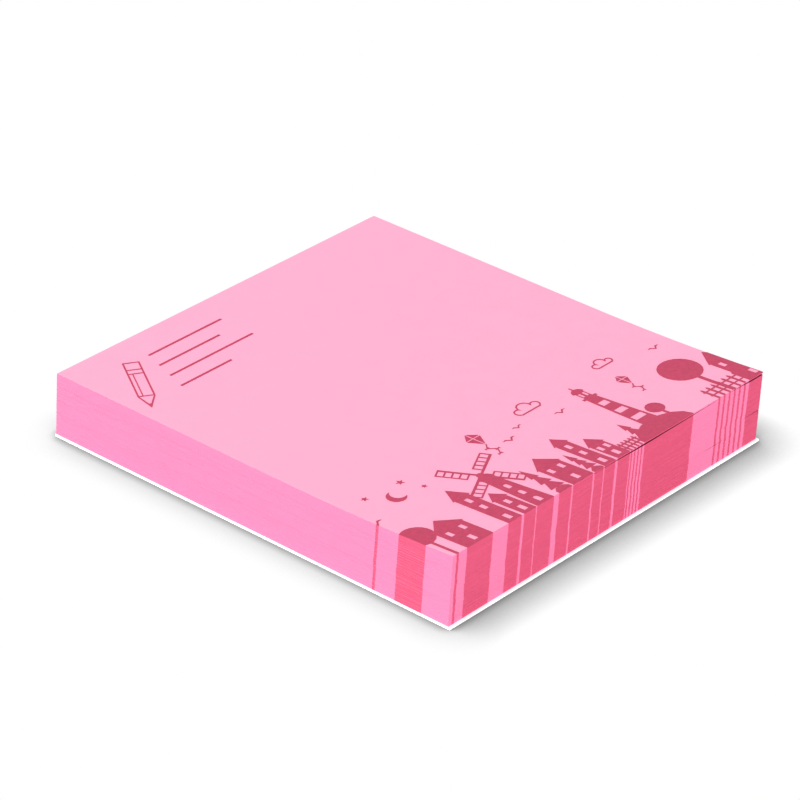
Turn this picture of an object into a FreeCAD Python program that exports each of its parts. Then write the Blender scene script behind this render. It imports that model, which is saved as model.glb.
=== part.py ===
import FreeCAD, Part
import math
import os

import Sketcher
from FreeCAD import Vector

# A pad of sticky notes lying flat, in millimetres.
# X runs along the reading width, +Y points to the glued edge, +Z is up.
# The origin is the centre of the liner's underside.

DIMENSIONS = {
    "note_width": 68.0,
    "note_height": 75.0,
    "stack_height": 10.0,
    "loose_thickness": 0.4,
    "liner_thickness": 0.35,
    "liner_margin": 0.22,
    "curl_run": 30.0,
    "curl_rise": 0.95,
    "fan_gap": 0.15,
    "lean_sideways": 0.28,
    "lean_forward": 0.24,
    "sheet_jog": 0.04,
    "ink_film": 0.03,
    "edge_reach": 0.4,
    "bleed": 1.0,
    "line_width": 0.4,
    "fine_line": 0.25,
    "corner_motif_width": 26.0,
    "corner_motif_top": 4.0,
    "corner_motif_left": 2.0,
}
LIFT_COUNT = 8
CURL_FACETS = 6
ROUND_SIDES = 12
JOG_STEP = 2.1
SIDE_JOG_STEP = 1.6

# Details that the printed houses share
EAVES = 0.3
STOREY = 2.6
WINDOW_BELOW_WALL_TOP = 0.7
WINDOW_WIDTH = 0.75
WINDOW_HEIGHT = 1.3
DOORSTEP = 0.5
DOOR_WIDTH = 0.8
DOOR_HEAD = 2.0

doc = FreeCAD.newDocument("sticky_note_pad")


def make_sheet():
    """The spreadsheet that holds the driving dimensions."""
    cells = doc.addObject("Spreadsheet::Sheet", "dims")
    for row, (name, value) in enumerate(DIMENSIONS.items(), start=1):
        cells.set(f"A{row}", name)
        cells.set(f"B{row}", str(value))
        cells.setAlias(f"B{row}", name)
    doc.recompute()
    return cells


dims = make_sheet()


def size(name):
    return float(dims.get(name))


def origin_plane(body, role):
    return next(f for f in body.Origin.OriginFeatures if f.Role == role)


def evaluate(expression):
    """The value of an expression over the spreadsheet's cells."""
    return float(dims.evalExpression(expression))


def coordinate_constraint(name, direction, line, value):
    """A named distance from the origin to a line's start, along one direction."""
    ends = (line, 1, -1, 1) if value < 0 else (-1, 1, line, 1)
    constraint = Sketcher.Constraint(direction, *ends, abs(value))
    constraint.Name = name
    return constraint


def outline_sketch(body, name, plane, corners):
    """A closed outline whose corners are pairs of expressions."""
    sketch = body.newObject("Sketcher::SketchObject", name)
    sketch.AttachmentSupport = (origin_plane(body, plane), "")
    sketch.MapMode = "FlatFace"
    points = [Vector(evaluate(across), evaluate(up), 0) for across, up in corners]
    count = len(points)
    sketch.addGeometry([Part.LineSegment(points[k], points[(k + 1) % count])
                        for k in range(count)])
    constraints = [Sketcher.Constraint("Coincident", k, 2, (k + 1) % count, 1)
                   for k in range(count)]
    for k, point in enumerate(points):
        constraints.append(coordinate_constraint(f"across_{k}", "DistanceX", k, point.x))
        constraints.append(coordinate_constraint(f"up_{k}", "DistanceY", k, point.y))
    sketch.addConstraint(constraints)
    for k, (across, up) in enumerate(corners):
        sketch.setExpression(f"Constraints.across_{k}", f"abs({across})")
        sketch.setExpression(f"Constraints.up_{k}", f"abs({up})")
    return sketch


def pad_sketch(body, name, sketch, length, side_type="One side"):
    pad = body.newObject("PartDesign::Pad", name)
    pad.Profile = sketch
    pad.SideType = side_type
    pad.setExpression("Length", length)
    body.Tip = pad


def make_liner():
    body = doc.addObject("PartDesign::Body", "liner_sheet")
    half_x = "(dims.note_width / 2 + dims.liner_margin)"
    half_y = "(dims.note_height / 2 + dims.liner_margin)"
    corners = [(f"-{half_x}", f"-{half_y}"), (half_x, f"-{half_y}"),
               (half_x, half_y), (f"-{half_x}", half_y)]
    sketch = outline_sketch(body, "liner_outline", "XY_Plane", corners)
    pad_sketch(body, "liner_pad", sketch, "dims.liner_thickness")
    return body


# Sheets: each lift is a run of sheets that lie a hair out of line with the next.
# All lie flat at the glued edge and curl up in one parabola towards the free edge.


LOWER_HEIGHT = "(dims.stack_height - dims.loose_thickness)"
TOP_RISE = "(dims.curl_rise + dims.fan_gap)"


def rise_at(height):
    """Rise of the free edge at a height in the stack, as an expression."""
    return f"(dims.curl_rise * ({height}) / dims.stack_height)"


def curl_corners(base, rise, free_edge):
    """Corners of one sheet face, from the end of the flat to the free edge."""
    corners = []
    for facet in range(CURL_FACETS):
        share = facet / CURL_FACETS
        corners.append((f"-dims.note_height / 2 + dims.curl_run * {1 - share:.6f}",
                        f"{base} + {rise} * {share ** 2:.6f}"))
    slope = f"{rise} * {(2 * CURL_FACETS - 1) / CURL_FACETS:.6f} / dims.curl_run"
    corners.append((free_edge, f"{base} + {rise} - {slope} * (dims.note_height / 2 + {free_edge})"))
    return corners


def add_lift(body, index, height, thickness, rises, film="0"):
    """One lift of sheets: its side profile on the YZ plane, padded along X.

    height is where the lift starts above the liner and thickness how deep it is, both
    as expressions; rises holds the free edge's rise below and above the lift, or None
    for a flat underside; film is how far the outline stands out for a film of ink;
    index sets the lift's place in the jogging.
    """
    lean = f"({index / LIFT_COUNT:.6f} - 0.5)"
    forward = (f"(dims.sheet_jog * {math.sin(JOG_STEP * index):.4f}"
               f" - dims.lean_forward * {lean})")
    sideways = (f"dims.sheet_jog * {math.cos(SIDE_JOG_STEP * index):.4f}"
                f" + dims.lean_sideways * {lean}")
    free_edge = f"(-dims.note_height / 2 + {forward} - {film})"
    glued_edge = f"(dims.note_height / 2 + {forward})"
    low = f"(dims.liner_thickness + {height})"
    high = f"({low} + {thickness})"
    low_rise, high_rise = rises
    corners = [(glued_edge, low), (glued_edge, high)]
    corners += curl_corners(high, high_rise, free_edge)
    if low_rise is None:
        corners.append((free_edge, low))
    else:
        corners += reversed(curl_corners(low, low_rise, free_edge))
    sketch = outline_sketch(body, f"{body.Name}_profile_{index}", "YZ_Plane", corners)
    sketch.setExpression("AttachmentOffset.Base.z", sideways)
    pad_sketch(body, f"{body.Name}_lift_{index}", sketch, f"dims.note_width + 2 * {film}",
               "Symmetric")


def make_stack(name, film="0"):
    """The block of sheets as one body of stepped lifts.

    The last lift is the few loosened sheets, whose free edge stands a little off.
    """
    body = doc.addObject("PartDesign::Body", name)
    for index in range(LIFT_COUNT):
        low = f"{LOWER_HEIGHT} * {index} / {LIFT_COUNT}"
        high = f"{LOWER_HEIGHT} * {index + 1} / {LIFT_COUNT}"
        rises = (rise_at(low) if index else None, rise_at(high))
        add_lift(body, index, low, f"{LOWER_HEIGHT} / {LIFT_COUNT}", rises, film)
    loose_rises = (f"({rise_at(LOWER_HEIGHT)} + dims.fan_gap)", TOP_RISE)
    add_lift(body, LIFT_COUNT, LOWER_HEIGHT, "dims.loose_thickness", loose_rises, film)
    return body


def make_top_film():
    """A film of ink all over the top sheet, from which the motifs are cut."""
    body = doc.addObject("PartDesign::Body", "top_film")
    add_lift(body, LIFT_COUNT, "dims.stack_height", "dims.ink_film", (TOP_RISE, TOP_RISE),
             "dims.ink_film")
    return body


# Printed motifs, drawn in note coordinates: u from the left edge, v up from the free edge.
# Each motif is a prism through the whole stack, because every sheet has the same print.


def note_point(u, v):
    return Vector(u - size("note_width") / 2, v - size("note_height") / 2,
                  size("liner_thickness") / 2)


def prism(face):
    return face.extrude(Vector(0, 0, 2 * size("stack_height")))


def polygon(points):
    corners = [note_point(u, v) for u, v in points]
    return prism(Part.Face(Part.makePolygon(corners + corners[:1])))


def block(left, low, right, high):
    return polygon([(left, low), (right, low), (right, high), (left, high)])


def disc(u, v, radius):
    """A round spot, as a polygon fine enough for its size."""
    sides = 4 * round(ROUND_SIDES / 4 * max(1.0, radius ** 0.5))
    turns = [2 * math.pi * (k + 0.5) / sides for k in range(sides)]
    return polygon([(u + radius * math.cos(turn), v + radius * math.sin(turn)) for turn in turns])


def stroke(start, end, width):
    """A straight pen line with square ends."""
    du, dv = end[0] - start[0], end[1] - start[1]
    length = math.hypot(du, dv)
    nu, nv = -dv / length * width / 2, du / length * width / 2
    return polygon([(start[0] + nu, start[1] + nv), (end[0] + nu, end[1] + nv),
                    (end[0] - nu, end[1] - nv), (start[0] - nu, start[1] - nv)])


def joined(shapes):
    return shapes[0].multiFuse(shapes[1:]) if len(shapes) > 1 else shapes[0]


def arched_opening(u, low, width, height):
    """A window or door with a round head."""
    square = block(u - width / 2, low, u + width / 2, low + height - width / 2)
    return joined([square, disc(u, low + height - width / 2, width / 2)])


def house(left, width, wall, ridge, columns=2, rows=1):
    """A gabled house front that bleeds over the free edge, with windows left in paper."""
    middle = left + width / 2
    front = polygon([(left, -size("bleed")), (left + width, -size("bleed")),
                     (left + width, wall), (left + width + EAVES, wall), (middle, ridge),
                     (left - EAVES, wall), (left, wall)])
    pitch = width / columns
    window = min(WINDOW_WIDTH, pitch / 2)
    openings = [block(middle - DOOR_WIDTH / 2, DOORSTEP, middle + DOOR_WIDTH / 2, DOOR_HEAD)]
    for row in range(rows):
        head = wall - WINDOW_BELOW_WALL_TOP - row * STOREY
        for column in range(columns):
            u = left + (column + 0.5) * pitch
            openings.append(block(u - window / 2, head - WINDOW_HEIGHT, u + window / 2, head))
    return front.cut(openings)


def round_tree(u, crown_height, crown, trunk=0.5):
    trunk_line = block(u - trunk / 2, -size("bleed"), u + trunk / 2, crown_height)
    return joined([disc(u, crown_height, crown), trunk_line])


def pine(u, height, half_width, tiers=3):
    """A fir tree of stacked triangles on a short trunk."""
    trunk_height = 1.2
    half_trunk = 0.3
    overlap = 0.2
    tier = (height - trunk_height) / tiers
    parts = [block(u - half_trunk, -size("bleed"), u + half_trunk, trunk_height + overlap)]
    for k in range(tiers):
        spread = half_width * (1 - 0.22 * k)
        low = trunk_height + k * tier * 0.86
        parts.append(polygon([(u - spread, low), (u + spread, low), (u, low + tier * 1.28)]))
    return joined(parts)


def bank(left, right, height):
    """A low mound of ground with sloping ends."""
    slope = height * 0.6
    return polygon([(left, -size("bleed")), (right, -size("bleed")), (right, height - slope),
                    (right - slope, height), (left + slope, height), (left, height - slope)])


def windmill(u, base, height, sail):
    """A tapered mill tower with a round cap and four lattice sails."""
    neck = base * 0.32
    cap_v = height - neck
    window_sill = 3.4
    fine = size("fine_line")
    cloth_width = 1.5
    cloth_start = 1.6
    bars = 5
    first_turn = 28
    tower = polygon([(u - base / 2, -size("bleed")), (u + base / 2, -size("bleed")),
                     (u + neck, cap_v), (u - neck, cap_v)])
    openings = [arched_opening(u, window_sill + STOREY * k, WINDOW_WIDTH, WINDOW_HEIGHT)
                for k in range(2)]
    openings.append(arched_opening(u, DOORSTEP, DOOR_WIDTH, DOOR_HEAD - DOORSTEP))
    parts = [tower.cut(openings), disc(u, cap_v, neck * 1.12)]
    for quarter in range(4):
        turn = math.radians(first_turn + 90 * quarter)
        along = (math.cos(turn), math.sin(turn))
        across = (-along[1], along[0])

        def at(distance, aside):
            return (u + along[0] * distance + across[0] * aside,
                    height + along[1] * distance + across[1] * aside)

        parts.append(stroke(at(0, 0), at(sail, 0), size("line_width")))
        parts.append(stroke(at(cloth_start, cloth_width), at(sail, cloth_width), fine))
        for bar in range(bars):
            distance = cloth_start + (sail - cloth_start - fine / 2) * bar / (bars - 1)
            parts.append(stroke(at(distance, 0), at(distance, cloth_width + fine / 2), fine))
    parts.append(disc(u, height, neck * 0.6))
    return joined(parts)


def lighthouse(u, base, height, bands=4):
    """A tapered tower with pale bands, a gallery, a lamp room and a dome."""
    top = base * 0.55
    head_height = 4.2
    gallery_height = 0.5
    lamp_height = 1.9
    band_share = 0.4
    line = size("line_width")
    shaft = height - head_height
    deck = shaft + gallery_height
    tower = polygon([(u - base / 2, -size("bleed")), (u + base / 2, -size("bleed")),
                     (u + top / 2, shaft), (u - top / 2, shaft)])
    pitch = shaft / (bands + 0.5)
    band_openings = []
    for k in range(bands):
        low = (k + 0.55) * pitch
        high = low + pitch * band_share
        half = base / 2 + (top - base) / 2 * high / shaft - line
        band_openings.append(block(u - half, low, u + half, high))
    gallery = block(u - top / 2 - line, shaft, u + top / 2 + line, deck)
    lamp_half = top / 2 - line / 2
    lamp = block(u - lamp_half, deck, u + lamp_half, deck + lamp_height)
    pane = lamp_half - line
    mullion = line / 2
    panes = [block(u - mullion - pane, deck + line, u - mullion, deck + lamp_height - line),
             block(u + mullion, deck + line, u + mullion + pane, deck + lamp_height - line)]
    dome_base = deck + lamp_height - line / 4
    dome = disc(u, dome_base, top / 2 + line / 4).common(
        block(u - base, dome_base, u + base, dome_base + base))
    finial = stroke((u, dome_base + line), (u, height), size("fine_line"))
    return joined([tower.cut(band_openings), gallery, lamp.cut(panes), dome, finial])


def picket_fence(left, right, pitch, picket, height):
    """Pointed pickets that bleed over the free edge, on two rails."""
    count = round((right - left) / pitch - 0.5) + 1
    half_rail = 0.15
    overhang = 0.2
    parts = []
    for k in range(count):
        u = left + k * pitch
        parts.append(polygon([(u, -size("bleed")), (u + picket, -size("bleed")),
                              (u + picket, height - picket), (u + picket / 2, height),
                              (u, height - picket)]))
    last = left + (count - 1) * pitch + picket
    for level in (height * 0.3, height * 0.7):
        parts.append(block(left - overhang, level - half_rail, last + overhang, level + half_rail))
    return joined(parts)


def hill(left, right, height):
    """A low round hill."""
    half = (right - left) / 2
    u = (left + right) / 2
    steps = 8
    crest = [(u + half * math.cos(math.pi * k / steps), height * math.sin(math.pi * k / steps))
             for k in range(steps + 1)]
    return polygon(crest + [(left, -size("bleed")), (right, -size("bleed"))])


def cloud(left, low, width):
    """The outline of a flat cloud, in one pen line."""
    line = size("fine_line")

    def body(inset):
        puffs = [(0.25, 0.14, 0.14), (0.5, 0.22, 0.2), (0.76, 0.14, 0.13)]
        shapes = [disc(left + width * a, low + width * b, width * r - inset) for a, b, r in puffs]
        shapes.append(block(left + width * 0.2, low + inset, left + width * 0.8,
                            low + width * 0.2 - inset))
        return joined(shapes)

    return body(0).cut(body(line))


def bird(u, v, span):
    half = span / 2
    wing = [(-1, 0.42), (-0.45, 0.6), (0, 0.12), (0.45, 0.6), (1, 0.42),
            (0.48, 0.36), (0, -0.16), (-0.48, 0.36)]
    return polygon([(u + half * a, v + half * b) for a, b in wing])


def moon(u, v, radius):
    return disc(u, v, radius).cut(disc(u + radius * 0.5, v + radius * 0.25, radius * 0.85))


def star(u, v, radius, points=5):
    outline = []
    for k in range(2 * points):
        reach = radius if k % 2 == 0 else radius * 0.42
        turn = math.pi / 2 + math.pi * k / points
        outline.append((u + reach * math.cos(turn), v + reach * math.sin(turn)))
    return polygon(outline)


def kite(u, v, length):
    """A paper kite with a cross of bare paper and a tail of three bows."""
    half = length * 0.36
    sail = polygon([(u, v - length * 0.6), (u + half, v), (u, v + length * 0.4), (u - half, v)])
    spar = size("fine_line") * 0.8
    cross = [block(u - spar / 2, v - length, u + spar / 2, v + length),
             block(u - length, v - spar / 2, u + length, v + spar / 2)]
    tail_steps = [(0, -0.6), (-0.22, -0.85), (0.04, -1.1), (-0.16, -1.4)]
    tail = [(u + length * a, v + length * b) for a, b in tail_steps]
    parts = [sail.cut(cross)]
    bow = length * 0.1
    for start, end in zip(tail, tail[1:]):
        parts.append(stroke(start, end, spar))
        u_end, v_end = end
        parts.append(polygon([(u_end - bow, v_end - bow * 0.6), (u_end, v_end),
                              (u_end + bow, v_end - bow * 0.6), (u_end + bow, v_end + bow * 0.6),
                              (u_end, v_end + bow * 0.1), (u_end - bow, v_end + bow * 0.6)]))
    return joined(parts)


def turned(shape, u, v, degrees):
    """The shape turned about a point of the note."""
    copy = shape.copy()
    copy.rotate(note_point(u, v), Vector(0, 0, 1), degrees)
    return copy


def pencil(u, v, length, thickness, degrees):
    """A pencil in pen lines: barrel with two facet lines, ferrule, rubber and point."""
    fine = size("fine_line")
    half = thickness / 2
    tip = thickness * 1.3
    rubber = thickness * 0.9
    outline = polygon([(u, v), (u + tip, v - half), (u + length, v - half),
                       (u + length, v + half), (u + tip, v + half)])
    inner_tip = fine * 3.2
    hollow = polygon([(u + inner_tip, v), (u + tip, v - half + fine),
                      (u + length - fine, v - half + fine),
                      (u + length - fine, v + half - fine), (u + tip, v + half - fine)])
    facet = half * 0.3
    lead = 0.35
    bars = (u + tip, u + length - rubber, u + length - rubber * 1.5)
    details = [block(start, v - half, start + fine, v + half) for start in bars]
    details.append(block(bars[0], v + facet, bars[2], v + facet + fine * 0.7))
    details.append(polygon([(u, v), (u + tip * lead, v - half * lead),
                            (u + tip * lead, v + half * lead)]))
    return turned(joined([outline.cut(hollow)] + details), u, v, degrees)


def corner_motif():
    """A pencil beside a few ruled lines, near the glued edge."""
    width = size("corner_motif_width")
    left = size("corner_motif_left")
    top = size("note_height") - size("corner_motif_top")
    first_line = 2.0
    line_pitch = 3.2
    line_spans = [(0.42, 1.0), (0.38, 0.86), (0.34, 1.0), (0.3, 0.7)]
    parts = [pencil(left + 0.5, top - 13.0, length=13.5, thickness=2.6, degrees=58)]
    for k, (start, end) in enumerate(line_spans):
        v = top - first_line - k * line_pitch
        parts.append(stroke((left + width * start, v), (left + width * end, v),
                            size("line_width")))
    return parts


# Skyline: a row of village motifs along the free edge, with small sky motifs above it.


def skyline_motifs():
    right = size("note_width")
    ground = [
        round_tree(1.2, 7.0, 2.6),
        house(3.1, 5.3, wall=5.4, ridge=8.2),
        house(11.6, 2.8, wall=9.4, ridge=12.4, columns=1, rows=2),
        house(14.9, 2.5, wall=5.2, ridge=7.4, columns=1),
        windmill(19.4, base=3.6, height=11.4, sail=6.2),
        bank(22.3, 25.0, height=1.1),
        pine(23.6, height=8.2, half_width=1.4),
        house(25.3, 4.3, wall=6.0, ridge=9.0),
        bank(29.9, 31.9, height=0.9),
        pine(30.9, height=6.4, half_width=1.05),
        house(32.1, 2.4, wall=8.6, ridge=10.8, columns=1, rows=2),
        house(35.0, 2.7, wall=4.8, ridge=7.2),
        picket_fence(37.9, 41.2, pitch=0.75, picket=0.35, height=2.6),
        hill(41.0, 52.0, height=3.6),
        lighthouse(46.6, base=3.8, height=18.2),
        pine(42.6, height=6.2, half_width=1.2),
        round_tree(50.0, 5.2, 1.5),
        picket_fence(right - 10.2, right - 2.9, pitch=1.2, picket=0.45, height=3.4),
        round_tree(right - 6.6, 9.6, 3.4, trunk=0.7),
        house(right - 2.6, 4.6, wall=7.2, ridge=10.6),
    ]
    sky = [
        moon(7.6, 16.4, 1.5),
        star(10.8, 18.6, 0.7), star(4.2, 19.2, 0.6), star(12.2, 15.4, 0.5),
        bird(0.2, 13.2, 3.0), bird(29.8, 14.6, 2.6), bird(33.2, 16.2, 2.0),
        kite(26.6, 19.0, 4.0), kite(53.8, 14.2, 3.2),
        cloud(35.0, 18.0, 6.6), cloud(right - 15.0, 18.6, 5.4),
        bird(40.6, 14.4, 2.4), bird(right - 3.6, 16.4, 2.4),
    ]
    return ground + sky


def boolean(kind, name, base, tool):
    """Part::Cut or Part::Common of two objects of the document."""
    result = doc.addObject(kind, name)
    result.Base = base
    result.Tool = tool
    return result


def make_edge_frame():
    """A frame round the stack's side faces, as deep as the print shows at the cut edges."""
    around = doc.addObject("Part::Box", "edge_frame_outside")
    around.setExpression("Length", "dims.note_width + 4 * dims.bleed")
    around.setExpression("Width", "dims.note_height + 4 * dims.bleed")
    around.setExpression("Placement.Base.x", "-dims.note_width / 2 - 2 * dims.bleed")
    around.setExpression("Placement.Base.y", "-dims.note_height / 2 - 2 * dims.bleed")
    core = doc.addObject("Part::Box", "edge_frame_core")
    core.setExpression("Length", "dims.note_width - 2 * dims.edge_reach")
    core.setExpression("Width", "dims.note_height + 4 * dims.bleed")
    core.setExpression("Placement.Base.x", "-dims.note_width / 2 + dims.edge_reach")
    core.setExpression("Placement.Base.y", "-dims.note_height / 2 + dims.edge_reach")
    for box in (around, core):
        box.setExpression("Height", "dims.stack_height * 2")
    return boolean("Part::Cut", "edge_frame", around, core)


def make_prints(note_sheets):
    """The ink: a film on the top sheet and one on the sheets' cut edges."""
    print_prism = doc.addObject("Part::Feature", "print_prism")
    print_prism.Shape = joined(skyline_motifs() + corner_motif()).removeSplitter()
    skyline_print = boolean("Part::Common", "skyline_print", make_top_film(), print_prism)

    prism_at_edges = boolean("Part::Common", "prism_at_edges", print_prism, make_edge_frame())
    inked_stack = make_stack("inked_stack", "dims.ink_film")
    edge_film = boolean("Part::Cut", "edge_film", inked_stack, note_sheets)
    edge_print = boolean("Part::Common", "edge_print", edge_film, prism_at_edges)
    return skyline_print, edge_print


def check_document():
    for item in doc.Objects:
        if {"Invalid", "Error"} & set(item.State):
            raise RuntimeError(f"{item.Label} failed: {item.State}")


def write_parts(nodes):
    os.makedirs("parts", exist_ok=True)
    for node in nodes:
        shape = node.Shape
        if shape.isNull() or not shape.isValid():
            raise RuntimeError(f"{node.Label} has no valid shape")
        shape.exportStep(os.path.join("parts", f"{node.Label}.step"))
        box = shape.BoundBox
        print(f"{node.Label}: {len(shape.Solids)} solids, {shape.Volume:.2f} mm3, "
              f"x {box.XMin:.2f} to {box.XMax:.2f}, y {box.YMin:.2f} to {box.YMax:.2f}, "
              f"z {box.ZMin:.2f} to {box.ZMax:.2f}")


liner_sheet = make_liner()
note_sheets = make_stack("note_sheets")
skyline_print, edge_print = make_prints(note_sheets)
doc.recompute()
check_document()
write_parts([liner_sheet, note_sheets, skyline_print, edge_print])
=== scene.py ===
import bmesh
import bpy
import math
import random
from mathutils import Matrix, Vector


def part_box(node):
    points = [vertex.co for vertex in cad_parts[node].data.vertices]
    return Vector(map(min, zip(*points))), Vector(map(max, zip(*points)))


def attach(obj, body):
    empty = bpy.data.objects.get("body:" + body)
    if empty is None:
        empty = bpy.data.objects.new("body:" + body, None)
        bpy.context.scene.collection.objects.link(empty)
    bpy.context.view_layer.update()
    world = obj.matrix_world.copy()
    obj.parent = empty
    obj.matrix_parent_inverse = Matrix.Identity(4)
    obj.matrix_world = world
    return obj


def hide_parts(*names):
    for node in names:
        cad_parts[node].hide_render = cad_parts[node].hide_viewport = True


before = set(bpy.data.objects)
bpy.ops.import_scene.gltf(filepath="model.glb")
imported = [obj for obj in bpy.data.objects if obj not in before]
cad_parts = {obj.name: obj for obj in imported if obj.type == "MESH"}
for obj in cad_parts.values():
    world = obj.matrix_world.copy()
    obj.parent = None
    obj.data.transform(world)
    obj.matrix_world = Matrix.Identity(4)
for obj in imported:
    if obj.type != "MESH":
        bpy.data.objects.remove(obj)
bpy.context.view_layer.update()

MM = 0.001
random.seed(75)

# Sizes of the pad, in metres

LINER_LOW, LINER_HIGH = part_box("liner_sheet")
FILM_LOW, FILM_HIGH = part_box("skyline_print")
LINER_MARGIN = 0.22 * MM
FILM = 0.03 * MM
NOTE_WIDTH = LINER_HIGH[0] - LINER_LOW[0] - 2 * LINER_MARGIN
NOTE_HEIGHT = LINER_HIGH[1] - LINER_LOW[1] - 2 * LINER_MARGIN
FREE_EDGE = -NOTE_HEIGHT / 2
LINER_TOP = LINER_HIGH[2]
STACK_HEIGHT = 10.0 * MM
SHEET_COUNT = 100
PAPER_SHARE = 0.93  # of the stack's height, the rest is air between the sheets
SHEET_THICKNESS = PAPER_SHARE * STACK_HEIGHT / SHEET_COUNT
SHEET_PITCH = (STACK_HEIGHT - SHEET_THICKNESS) / (SHEET_COUNT - 1)
CURL_RUN = 30.0 * MM
CURL_RISE = 0.95 * MM
CURL_ROWS = 12
FAN_GAP = 0.15 * MM

# Where sheets stand apart at the free edge: the sheet above the gap, the place and the
# half width along the edge in mm, and how far it gapes
GAPS = [(98, 43.0, 9.5, 0.24 * MM), (98, 67.0, 4.0, 0.24 * MM), (45, 68.0, 2.6, 0.11 * MM),
        (71, 46.0, 3.2, 0.06 * MM), (30, 57.0, 2.4, 0.05 * MM)]
# Painted shade: faces this many half widths to each side of a gap get a dark material
GAP_SHADE = 1.6  # how many half widths of a gap look dark to each side

# The stack leans: its lowest and its highest sheet lie this far off the middle
BOTTOM_SHIFT = Vector((-0.10 * MM, 0.12 * MM))
TOP_SHIFT = Vector((FILM_HIGH[0] - FILM - NOTE_WIDTH / 2, FILM_LOW[1] + FILM + NOTE_HEIGHT / 2))

# Each sheet lies a little off its place, and every so many sheets one lies further off. The
# disorder dies away over the top eighth of the stack.
DISORDER = 0.014 * MM
CALM_TOP = 8
ODD_SHEET_EVERY = 23
FIRST_ODD_SHEET = 11
ODD_SHEET_FACTOR = 3.0

# Where print runs out over the cut edges, in mm from the near left corner
FREE_EDGE_RUNS = [(0.95, 1.45), (3.1, 8.4), (11.6, 14.4), (14.9, 17.4), (17.6, 21.2),
                  (22.3, 25.0), (25.3, 29.6), (29.9, 31.9), (32.1, 34.5), (35.0, 37.7),
                  (41.0, 52.0), (65.4, 68.0)]
FREE_EDGE_RUNS += [(37.9 + 0.75 * k, 38.25 + 0.75 * k) for k in range(5)]
FREE_EDGE_RUNS += [(57.8 + 1.2 * k, 58.25 + 1.2 * k) for k in range(7)]
LEFT_EDGE_RUNS = [(4.6, 9.4), (13.0, 13.5)]
RIGHT_EDGE_RUNS = [(-1.0, 9.9)]

# How the print drifts from sheet to sheet, in mm: a wander of which most is kept, a soft kink
# at a share of the stack, and jitter. Along the sides it drifts by a share of that.
WANDER_KEPT = 0.92
WANDER_STEP = 0.012
KINK = 0.05
KINK_PLACE = 0.48
KINK_SHEETS = 4
PRINT_JITTER = 0.02
SIDE_DRIFT = -0.7
INK_FRAY = 0.03 * MM

# Material slots of a sheet after the plain paper, which has slot 0; the last holds the painted
# shade at gaps between sheets
EDGE_SLOT, INK_SLOT, PAINTED_SHADE_SLOT = 1, 2, 3

ON_OUTLINE = 0.01  # mm; a point nearer than this to a sheet's outline lies on it
LEVEL = 0.5  # a face whose normal has less height than this is part of a cut edge


# Helpers for modelling by hand


def start_fresh():
    if bpy.context.object and bpy.context.object.mode != "OBJECT":
        bpy.ops.object.mode_set(mode="OBJECT")
    bpy.ops.object.select_all(action="DESELECT")


def make_active(piece):
    start_fresh()
    piece.select_set(True)
    bpy.context.view_layer.objects.active = piece


def edit(piece):
    make_active(piece)
    bpy.ops.object.mode_set(mode="EDIT")
    bpy.context.tool_settings.mesh_select_mode = (True, False, False)


def leave_edit():
    bpy.ops.object.mode_set(mode="OBJECT")


def select_faces(piece, wanted):
    """Select the faces whose centre passes the test, in edit mode."""
    mesh = bmesh.from_edit_mesh(piece.data)
    bpy.ops.mesh.select_all(action="DESELECT")
    for face in mesh.faces:
        if wanted(face.calc_center_median()):
            face.select_set(True)
    bmesh.update_edit_mesh(piece.data)


def select_points(piece, wanted):
    """Select the points whose place passes the test, in edit mode."""
    mesh = bmesh.from_edit_mesh(piece.data)
    bpy.ops.mesh.select_all(action="DESELECT")
    for point in mesh.verts:
        if wanted(point.co):
            point.select_set(True)
    mesh.select_flush_mode()
    bmesh.update_edit_mesh(piece.data)


def apply_place(piece):
    make_active(piece)
    bpy.ops.object.transform_apply(location=True, rotation=True, scale=True)


# Materials

# How many grains of a pattern lie on a metre, along each axis
CLOUD_GRAIN = (420, 420, 420)
FIBRE_GRAIN = (5200, 1700, 3000)
MOTTLE_GRAIN = (1500, 1500, 1500)
LONG_STREAK_GRAIN = (150, 150, 5200)
SHORT_STREAK_GRAIN = (900, 900, 9000)

WHITE = (1.0, 1.0, 1.0)
FIBRE_SHADOW = (0.965, 0.965, 0.965)
CARD = (0.96, 0.96, 0.95)
PINK = (1.0, 0.456, 0.645)
# The cut edges' pink: partly their own deeper colour, partly painted shade that makes the sides
# darker than the top
PINK_EDGE_AND_PAINTED_SHADE = (1.0, 0.282, 0.5)
INK = (0.56, 0.058, 0.128)
INK_EDGE = (0.84, 0.122, 0.235)
# Painted shade for the faces at gaps between sheets, where only shade falls
GAP_PAINTED_SHADE = (0.25, 0.02, 0.06)
GAP_PAINTED_SHADE_DEEP = (0.16, 0.012, 0.04)
# Glow colours: partly the papers' fluorescence and brightener, partly painted light
FLUORESCENT_AND_PAINTED_GLOW = (1.0, 0.03, 0.14)
BRIGHTENER_AND_PAINTED_GLOW = (0.97, 0.98, 1.0)


def new_material(name):
    made = bpy.data.materials.new(name)
    made.use_nodes = True
    nodes = made.node_tree.nodes
    shader = nodes["Principled BSDF"]
    coords = nodes.new("ShaderNodeTexCoord")
    return made, nodes, made.node_tree.links, shader, coords.outputs["Object"]


def noise(nodes, links, coords, grain, detail, roughness=0.5):
    mapping = nodes.new("ShaderNodeMapping")
    mapping.inputs["Scale"].default_value = grain
    texture = nodes.new("ShaderNodeTexNoise")
    texture.inputs["Scale"].default_value = 1.0
    texture.inputs["Detail"].default_value = detail
    texture.inputs["Roughness"].default_value = roughness
    links.new(coords, mapping.inputs["Vector"])
    links.new(mapping.outputs["Vector"], texture.inputs["Vector"])
    return texture.outputs["Fac"]


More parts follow.
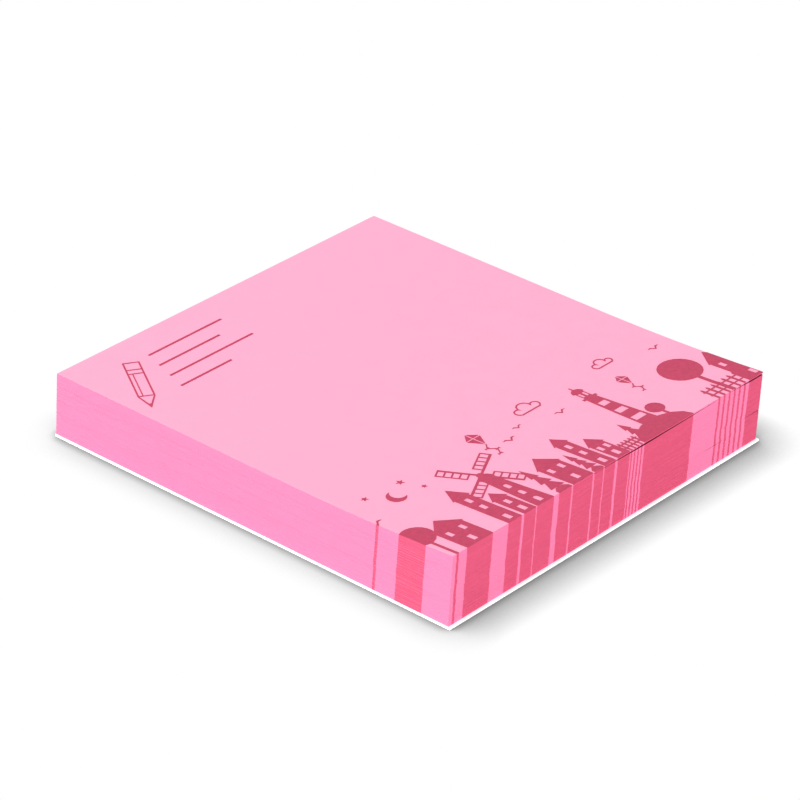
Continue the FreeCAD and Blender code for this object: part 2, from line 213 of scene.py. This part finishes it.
def ramp(nodes, links, source, stops):
    """A colour ramp with (position, colour) stops."""
    made = nodes.new("ShaderNodeValToRGB")
    elements = made.color_ramp.elements
    while len(elements) < len(stops):
        elements.new(0.5)
    for element, (position, colour) in zip(elements, stops):
        element.position = position
        element.color = (*colour, 1.0)
    links.new(source, made.inputs["Fac"])
    return made.outputs["Color"]


def multiply(nodes, links, first, second):
    mix = nodes.new("ShaderNodeMix")
    mix.data_type = "RGBA"
    mix.blend_type = "MULTIPLY"
    mix.inputs["Factor"].default_value = 1.0
    links.new(first, mix.inputs["A"])
    links.new(second, mix.inputs["B"])
    return mix.outputs["Result"]


def bump(nodes, links, shader, height, strength, distance):
    made = nodes.new("ShaderNodeBump")
    made.inputs["Strength"].default_value = strength
    made.inputs["Distance"].default_value = distance
    links.new(height, made.inputs["Height"])
    links.new(made.outputs["Normal"], shader.inputs["Normal"])


def shade(colour, factor):
    return tuple(min(1.0, channel * factor) for channel in colour)


def coat(links, shader, colour, roughness, gloss):
    links.new(colour, shader.inputs["Base Color"])
    shader.inputs["Roughness"].default_value = roughness
    shader.inputs["Specular IOR Level"].default_value = gloss


def add_glow(shader, colour, strength):
    """Emission: partly the paper's real fluorescence, partly painted light that lifts faces the
    lamps leave dim.
    """
    shader.inputs["Emission Color"].default_value = (*colour, 1.0)
    shader.inputs["Emission Strength"].default_value = strength


def paper_material(name, colour, glow, fibre=0.03, roughness=0.85):
    """Uncoated paper: a faint cloudy formation, fine fibres and a soft sheen."""
    made, nodes, links, shader, coords = new_material(name)
    clouds = noise(nodes, links, coords, CLOUD_GRAIN, detail=5)
    tone = ramp(nodes, links, clouds, [(0.3, shade(colour, 1 - fibre)), (0.7, colour)])
    fibres = noise(nodes, links, coords, FIBRE_GRAIN, detail=3)
    grain = ramp(nodes, links, fibres, [(0.3, FIBRE_SHADOW), (0.7, WHITE)])
    coat(links, shader, multiply(nodes, links, tone, grain), roughness, gloss=0.25)
    shader.inputs["Sheen Weight"].default_value = 0.04
    add_glow(shader, *glow)
    bump(nodes, links, shader, fibres, strength=0.25, distance=0.02 * MM)
    return made


def cut_edge_material(name, colour, dark, glow, streak):
    """The cut edges of many sheets: streaks that run along the sheets."""
    made, nodes, links, shader, coords = new_material(name)
    long_streaks = noise(nodes, links, coords, LONG_STREAK_GRAIN, detail=3, roughness=0.6)
    tone = ramp(nodes, links, long_streaks, [(0.32, dark), (0.62, colour)])
    short_streaks = noise(nodes, links, coords, SHORT_STREAK_GRAIN, detail=2)
    grain = ramp(nodes, links, short_streaks, [(0.3, shade(WHITE, 1 - streak)), (0.7, WHITE)])
    coat(links, shader, multiply(nodes, links, tone, grain), roughness=0.9, gloss=0.15)
    add_glow(shader, *glow)
    bump(nodes, links, shader, short_streaks, strength=0.3, distance=0.03 * MM)
    return made


def ink_material(name, colour):
    """Offset ink soaked into paper: solid, a little mottled, with a trace of gloss."""
    made, nodes, links, shader, coords = new_material(name)
    mottle = noise(nodes, links, coords, MOTTLE_GRAIN, detail=4, roughness=0.6)
    tone = ramp(nodes, links, mottle, [(0.3, shade(colour, 0.9)), (0.5, colour),
                                       (0.75, shade(colour, 1.12))])
    fibres = noise(nodes, links, coords, FIBRE_GRAIN, detail=3)
    coat(links, shader, tone, roughness=0.6, gloss=0.3)
    bump(nodes, links, shader, fibres, strength=0.2, distance=0.02 * MM)
    return made


pink_paper = paper_material("pink_paper", PINK, glow=(FLUORESCENT_AND_PAINTED_GLOW, 0.1))
# The cut edges' darker pink is partly painted shade of the sides
pink_cut_edge = cut_edge_material("pink_cut_edge", PINK_EDGE_AND_PAINTED_SHADE, shade(PINK_EDGE_AND_PAINTED_SHADE, 0.97),
                                  glow=(FLUORESCENT_AND_PAINTED_GLOW, 0.15), streak=0.03)
ink_cut_edge = cut_edge_material("ink_cut_edge", INK_EDGE, shade(INK_EDGE, 0.9),
                                 glow=(FLUORESCENT_AND_PAINTED_GLOW, 0.08), streak=0.1)
# Painted shade: a dark material for the faces at gaps between sheets, where only shade falls
painted_gap_shade = cut_edge_material("painted_gap_shade", GAP_PAINTED_SHADE, GAP_PAINTED_SHADE_DEEP,
                              glow=(FLUORESCENT_AND_PAINTED_GLOW, 0.0), streak=0.1)
crimson_ink = ink_material("crimson_ink", INK)
# The card's glow is partly its brightener, partly painted light that keeps the liner white in
# shade
white_card = paper_material("white_card", CARD, glow=(BRIGHTENER_AND_PAINTED_GLOW, 0.4), fibre=0.01,
                            roughness=0.6)


# Sheets: one note is modelled, copied for each sheet of the block and joined


def along_free_edge(place):
    """How far a place on the sheet lies from its left side, in mm."""
    return (place.x + NOTE_WIDTH / 2) / MM


def in_runs(distance, runs):
    return any(low < distance < high for low, high in runs)


def is_inked(centre):
    """Whether the print reaches a cut edge at this place on the sheet's outline."""
    across = along_free_edge(centre)
    up = (centre.y - FREE_EDGE) / MM
    if up < ON_OUTLINE:
        return in_runs(across, FREE_EDGE_RUNS)
    if across < ON_OUTLINE:
        return in_runs(up, LEFT_EDGE_RUNS)
    if across > NOTE_WIDTH / MM - ON_OUTLINE:
        return in_runs(up, RIGHT_EDGE_RUNS)
    return False


def cut_across(piece, place, normal, wanted):
    select_faces(piece, wanted)
    bpy.ops.mesh.bisect(plane_co=place, plane_no=normal)


def rows_from_free_edge():
    """How far from the free edge a sheet is cut across, for its curl and its sides' print."""
    rows = {CURL_RUN * k / CURL_ROWS for k in range(1, CURL_ROWS + 1)}
    for low, high in LEFT_EDGE_RUNS + RIGHT_EDGE_RUNS:
        rows |= {low * MM, high * MM}
    return sorted(row for row in rows if row > 0)


def model_note():
    """One note: a plane cut where the curl bends and print meets an edge, given thickness."""
    start_fresh()
    bpy.ops.mesh.primitive_plane_add(size=1.0)
    note = bpy.context.object
    note.scale = (NOTE_WIDTH, NOTE_HEIGHT, 1.0)
    apply_place(note)
    edit(note)
    rows = rows_from_free_edge()
    for row in rows:
        cut_across(note, (0, FREE_EDGE + row, 0), (0, 1, 0), lambda centre: True)
    for end in sorted({end * MM for run in FREE_EDGE_RUNS for end in run}):
        if end < NOTE_WIDTH - ON_OUTLINE * MM:
            cut_across(note, (end - NOTE_WIDTH / 2, 0, 0), (1, 0, 0),
                       lambda centre: centre.y < FREE_EDGE + rows[0])
    bpy.ops.mesh.select_all(action="SELECT")
    bpy.ops.mesh.extrude_region_move(
        TRANSFORM_OT_translate={"value": (0, 0, SHEET_THICKNESS)})
    bpy.ops.mesh.select_all(action="SELECT")
    bpy.ops.mesh.normals_make_consistent(inside=False)
    leave_edit()
    for made in (pink_paper, pink_cut_edge, ink_cut_edge, painted_gap_shade):
        note.data.materials.append(made)
    for face in note.data.polygons:
        if abs(face.normal.z) < LEVEL:
            face.material_index = INK_SLOT if is_inked(face.center) else EDGE_SLOT
    return note


def print_drift():
    """How far each sheet's print lies off the top sheet's."""
    drift = []
    wander = 0.0
    for sheet in range(SHEET_COUNT):
        wander = WANDER_KEPT * wander + random.gauss(0, WANDER_STEP)
        kink = KINK * math.tanh((sheet - KINK_PLACE * SHEET_COUNT) / KINK_SHEETS)
        drift.append((wander + kink + random.gauss(0, PRINT_JITTER)) * MM)
    return [off - drift[-1] for off in drift]


def slide_print(note, on_free_edge, on_sides):
    """Move the ends of the print runs along a sheet's edges, and fray the free edge's."""
    half_x = NOTE_WIDTH / 2 - ON_OUTLINE * MM
    half_y = NOTE_HEIGHT / 2 - ON_OUTLINE * MM
    edit(note)
    select_points(note, lambda co: abs(co.x) < half_x)
    bpy.ops.transform.translate(value=(on_free_edge, 0, 0))
    select_points(note, lambda co: abs(co.y) < half_y)
    bpy.ops.transform.translate(value=(0, on_sides, 0))
    leave_edit()
    fray = {}
    for point in note.data.vertices:
        if abs(point.co.x) < half_x:
            point.co.x += fray.setdefault(round(point.co.x, 6), random.gauss(0, INK_FRAY))


def sheet_shift(sheet):
    """Where a sheet lies: the lean of the stack, and a little disorder that the top hasn't."""
    share = sheet / (SHEET_COUNT - 1)
    lean = BOTTOM_SHIFT.lerp(TOP_SHIFT, share)
    disorder = DISORDER * min(1.0, (1 - share) * CALM_TOP)
    factor = ODD_SHEET_FACTOR if sheet % ODD_SHEET_EVERY == FIRST_ODD_SHEET else 1.0
    return lean + Vector((random.gauss(0, disorder) * factor,
                          abs(random.gauss(0, disorder)) * factor))


def curl_rise(co, sheet):
    """How far the curl lifts a point of a sheet, with the sheets below a gap pressed down."""
    share = max(0.0, (FREE_EDGE + CURL_RUN - co.y) / CURL_RUN)
    height = (co.z - LINER_TOP) / STACK_HEIGHT
    rise = (CURL_RISE + FAN_GAP) * height
    for above, place, half_width, gape in GAPS:
        opening = gape * math.exp(-((along_free_edge(co) - place) / half_width) ** 2)
        if sheet < above:
            rise -= opening * sheet / above
    return rise * share ** 2


def paint_gap_shade(copy, sheet):
    """Little light gets between sheets that stand apart, so the faces at a gap get a painted
    shade: a dark material.
    """
    for above, place, half_width, _ in GAPS:
        side = {above: -1, above - 1: 1}.get(sheet, 0)
        for face in copy.data.polygons:
            beside = abs(along_free_edge(face.center) - place) < GAP_SHADE * half_width
            near_edge = face.center.y < FREE_EDGE + CURL_RUN / CURL_ROWS
            if beside and near_edge and face.normal.z * side > LEVEL:
                face.material_index = PAINTED_SHADE_SLOT


def model_sheet_block():
    """A copy of the note for each sheet, with its print and curl, all joined."""
    note = model_note()
    sheets = []
    for sheet, drift in enumerate(print_drift()):
        make_active(note)
        bpy.ops.object.duplicate()
        copy = bpy.context.object
        slide_print(copy, drift - TOP_SHIFT.x, SIDE_DRIFT * drift - TOP_SHIFT.y)
        shift = sheet_shift(sheet)
        copy.location = (shift.x, shift.y, LINER_TOP + sheet * SHEET_PITCH)
        apply_place(copy)
        for point in copy.data.vertices:
            point.co.z += curl_rise(point.co, sheet)
        paint_gap_shade(copy, sheet)
        sheets.append(copy)
    start_fresh()
    for copy in sheets:
        copy.select_set(True)
    bpy.context.view_layer.objects.active = sheets[0]
    bpy.ops.object.join()
    block = bpy.context.object
    block.name = "sheet_block"
    bpy.data.objects.remove(note)
    make_active(block)
    bpy.ops.object.shade_smooth_by_angle(angle=math.radians(30))
    return block


sheet_block = model_sheet_block()
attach(sheet_block, "root")
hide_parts("note_sheets", "edge_print")


def repaint(node, made):
    """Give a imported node's object a better material."""
    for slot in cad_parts[node].material_slots:
        slot.material = made


repaint("skyline_print", crimson_ink)
repaint("edge_print", ink_cut_edge)
repaint("note_sheets", pink_paper)
repaint("liner_sheet", white_card)


# The floor and the room: white where they are seen, and darker for the light that they throw.
# The floor's grey shadow has a dark line close to the pad and a wider, softer part.

FLOOR_SIDE = 4.0
FLOOR_BOUNCE = (0.6, 0.6, 0.6, 1.0)
CONTACT_REACH = 1.82 * MM
CONTACT_SIDE = (0.0, 0.0, 1.0)
SHADOW_REACH = 7.1 * MM
SHADOW_SIDE = (-0.424, 0.271, 0.864)
SHADOW_DEPTH = 1.175
SHADOW_SAMPLES = 8
ROOM_LIGHT = 0.22


def arithmetic(nodes, links, operation, first, second):
    """A Math node of two inputs, of which the second may be a plain number."""
    made = nodes.new("ShaderNodeMath")
    made.operation = operation
    links.new(first, made.inputs[0])
    if isinstance(second, float):
        made.inputs[1].default_value = second
    else:
        links.new(second, made.inputs[1])
    return made.outputs["Value"]


def occlusion(nodes, links, towards_light, reach):
    """How open the floor lies to the light on one side, looking no further than the reach."""
    direction = nodes.new("ShaderNodeCombineXYZ")
    for socket, part in zip(direction.inputs, towards_light):
        socket.default_value = part
    made = nodes.new("ShaderNodeAmbientOcclusion")
    made.samples = SHADOW_SAMPLES
    made.inputs["Distance"].default_value = reach
    links.new(direction.outputs["Vector"], made.inputs["Normal"])
    return made.outputs["AO"]


def show_or_throw(nodes, links, seen, thrown):
    """One shader for what is seen, also as a reflection, and one for all other light."""
    path = nodes.new("ShaderNodeLightPath")
    mirrored = arithmetic(nodes, links, "MAXIMUM", path.outputs["Is Glossy Ray"],
                          path.outputs["Is Transmission Ray"])
    mix = nodes.new("ShaderNodeMixShader")
    links.new(arithmetic(nodes, links, "MAXIMUM", path.outputs["Is Camera Ray"], mirrored),
              mix.inputs["Fac"])
    links.new(thrown, mix.inputs[1])
    links.new(seen, mix.inputs[2])
    return mix.outputs["Shader"]


def model_floor():
    start_fresh()
    bpy.ops.mesh.primitive_plane_add(size=FLOOR_SIDE, location=(0, 0, 0))
    floor = bpy.context.object
    floor.name = "floor"
    made, nodes, links, shader, _ = new_material("floor_white")
    nodes.remove(shader)
    close = occlusion(nodes, links, CONTACT_SIDE, CONTACT_REACH)
    wide = occlusion(nodes, links, SHADOW_SIDE, SHADOW_REACH)
    deepened = arithmetic(nodes, links, "POWER", wide, SHADOW_DEPTH)
    seen = nodes.new("ShaderNodeEmission")
    links.new(arithmetic(nodes, links, "MULTIPLY", close, deepened), seen.inputs["Strength"])
    bounce = nodes.new("ShaderNodeBsdfDiffuse")
    bounce.inputs["Color"].default_value = FLOOR_BOUNCE
    surface = show_or_throw(nodes, links, seen.outputs["Emission"], bounce.outputs["BSDF"])
    links.new(surface, nodes["Material Output"].inputs["Surface"])
    floor.data.materials.append(made)


def model_room():
    world = bpy.data.worlds.new("white_room")
    bpy.context.scene.world = world
    world.use_nodes = True
    nodes, links = world.node_tree.nodes, world.node_tree.links
    nodes.clear()
    shown = []
    for strength in (1.0, ROOM_LIGHT):
        background = nodes.new("ShaderNodeBackground")
        background.inputs["Color"].default_value = (1.0, 1.0, 1.0, 1.0)
        background.inputs["Strength"].default_value = strength
        shown.append(background.outputs["Background"])
    output = nodes.new("ShaderNodeOutputWorld")
    links.new(show_or_throw(nodes, links, *shown), output.inputs["Surface"])


model_floor()
model_room()


# Lamps and camera


def direction_of(azimuth, elevation):
    """Which way a lamp or the camera lies, seen from the pad."""
    turn, tilt = math.radians(azimuth), math.radians(elevation)
    return Vector((math.sin(turn) * math.cos(tilt), -math.cos(turn) * math.cos(tilt),
                   math.sin(tilt)))


def set_up(name, data):
    holder = bpy.data.objects.new(name, data)
    bpy.context.scene.collection.objects.link(holder)
    return holder


def add_softbox(name, azimuth, elevation, distance, side, strength):
    """A square softbox that faces the pad and isn't mirrored in it.

    strength is what it adds to a facing white card.
    """
    direction = direction_of(azimuth, elevation)
    lamp = bpy.data.lights.new(name, "AREA")
    lamp.shape = "SQUARE"
    lamp.size = side
    lamp.energy = strength * math.pi ** 2 * distance ** 2
    holder = set_up(name, lamp)
    holder.location = direction * distance
    holder.rotation_mode = "QUATERNION"
    holder.rotation_quaternion = direction.to_track_quat("Z", "Y")
    holder.visible_glossy = False


LOW_FILL = {"elevation": 14, "distance": 1.2, "side": 0.4}
add_softbox("key_softbox", azimuth=200, elevation=62, distance=0.9, side=0.55, strength=0.51)
add_softbox("left_fill", azimuth=-80, strength=0.71, **LOW_FILL)
add_softbox("right_fill", azimuth=-8, strength=0.5, **LOW_FILL)
add_softbox("back_fill", azimuth=135, strength=0.5, **LOW_FILL)

# A long lens, at the place that fits the pad's corners in the photograph
VIEW_AZIMUTH = -48.932
VIEW_ELEVATION = 29.773
VIEW_ROLL = 0.967
VIEW_DISTANCE = 569.1 * MM
VIEW_LENS = 176.9
SENSOR_WIDTH = 36.0
NEAREST_SEEN = 0.01
FURTHEST_SEEN = 20.0
AIM_RIGHT = -1.085 * MM
AIM_UP = 5.574 * MM


def add_camera():
    turn, roll = math.radians(VIEW_AZIMUTH), math.radians(VIEW_ROLL)
    back = direction_of(VIEW_AZIMUTH, VIEW_ELEVATION)
    level = Vector((math.cos(turn), math.sin(turn), 0))
    upright = back.cross(level)
    right = math.cos(roll) * level + math.sin(roll) * upright
    up = -math.sin(roll) * level + math.cos(roll) * upright
    data = bpy.data.cameras.new("camera")
    data.lens = VIEW_LENS
    data.sensor_width = SENSOR_WIDTH
    data.clip_start = NEAREST_SEEN
    data.clip_end = FURTHEST_SEEN
    holder = set_up("camera", data)
    place = AIM_RIGHT * right + AIM_UP * up + VIEW_DISTANCE * back
    turned = Matrix((right, up, back)).transposed().to_4x4()
    holder.matrix_world = Matrix.Translation(place) @ turned
    bpy.context.scene.camera = holder


add_camera()
bpy.context.scene.view_settings.view_transform = "Standard"
